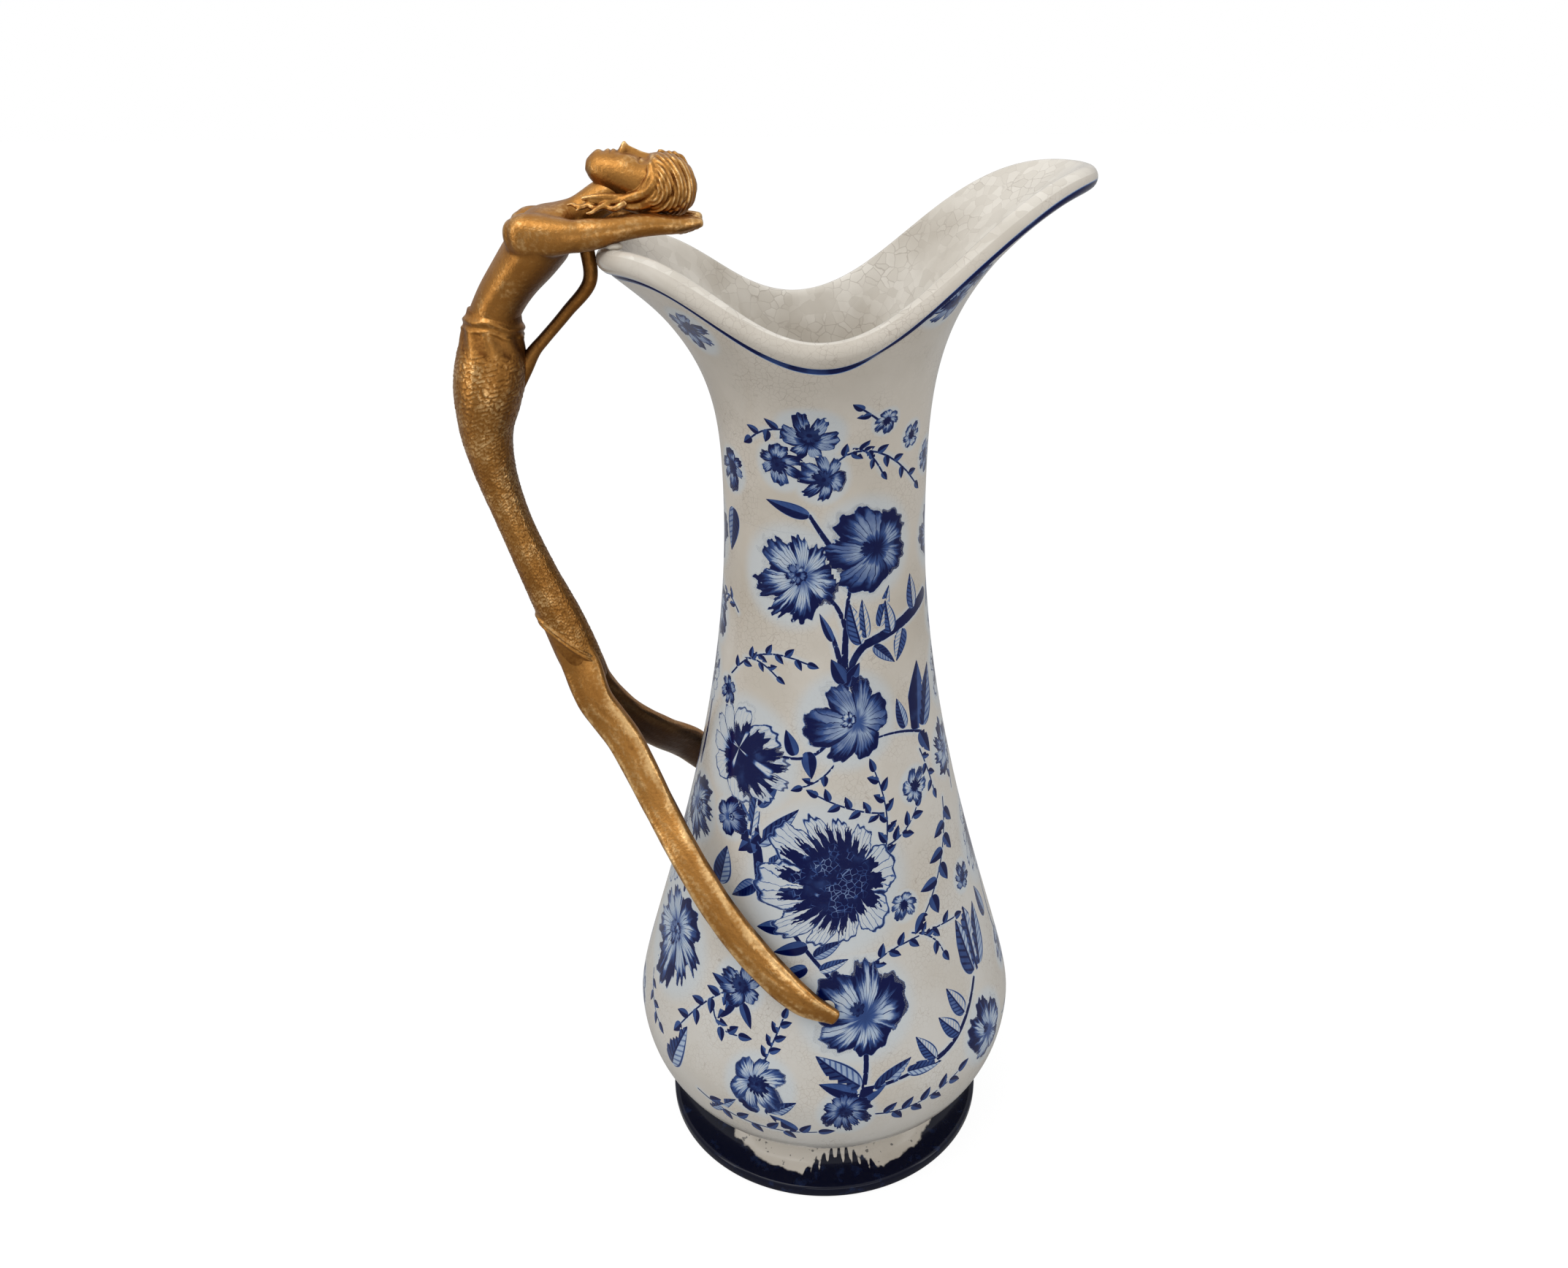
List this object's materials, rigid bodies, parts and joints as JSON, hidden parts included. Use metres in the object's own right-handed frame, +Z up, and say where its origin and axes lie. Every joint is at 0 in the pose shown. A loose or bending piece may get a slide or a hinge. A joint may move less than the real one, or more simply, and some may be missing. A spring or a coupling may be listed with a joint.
{
  "type": "ewer",
  "caption": "Tall glazed porcelain ewer with a pear-shaped body, swept spout and cobalt foot, and a cast bronze mermaid arched from rim to belly as its handle, for pouring and display.",
  "frame": {"origin": "centre of the foot's underside, on the vessel's axis", "axes": "+Z up along the vessel's axis, +X towards the spout, -X towards the handle, -Y the near side"},
  "size_m": [0.2034, 0.1486, 0.3763],
  "materials": {
    "porcelain": "warm white crackled glaze with underglaze cobalt flowers",
    "cobalt_glaze": "dark cobalt gloss glaze with white reserves",
    "bronze": "golden brown patinated cast bronze, dark in the hollows",
    "cement": "matt pale jointing cement"
  },
  "bodies": {
    "root": {"foot": "cobalt_glaze", "vessel": "porcelain", "torso": "bronze", "head": "bronze", "near_arm": "bronze", "far_arm": "bronze", "tail": "bronze", "near_fluke": "bronze", "far_fluke": "bronze", "rim_brace": "bronze", "near_arm_cement": "cement", "far_arm_cement": "cement", "near_fluke_cement": "cement", "far_fluke_cement": "cement"}
  },
  "joints": []
}
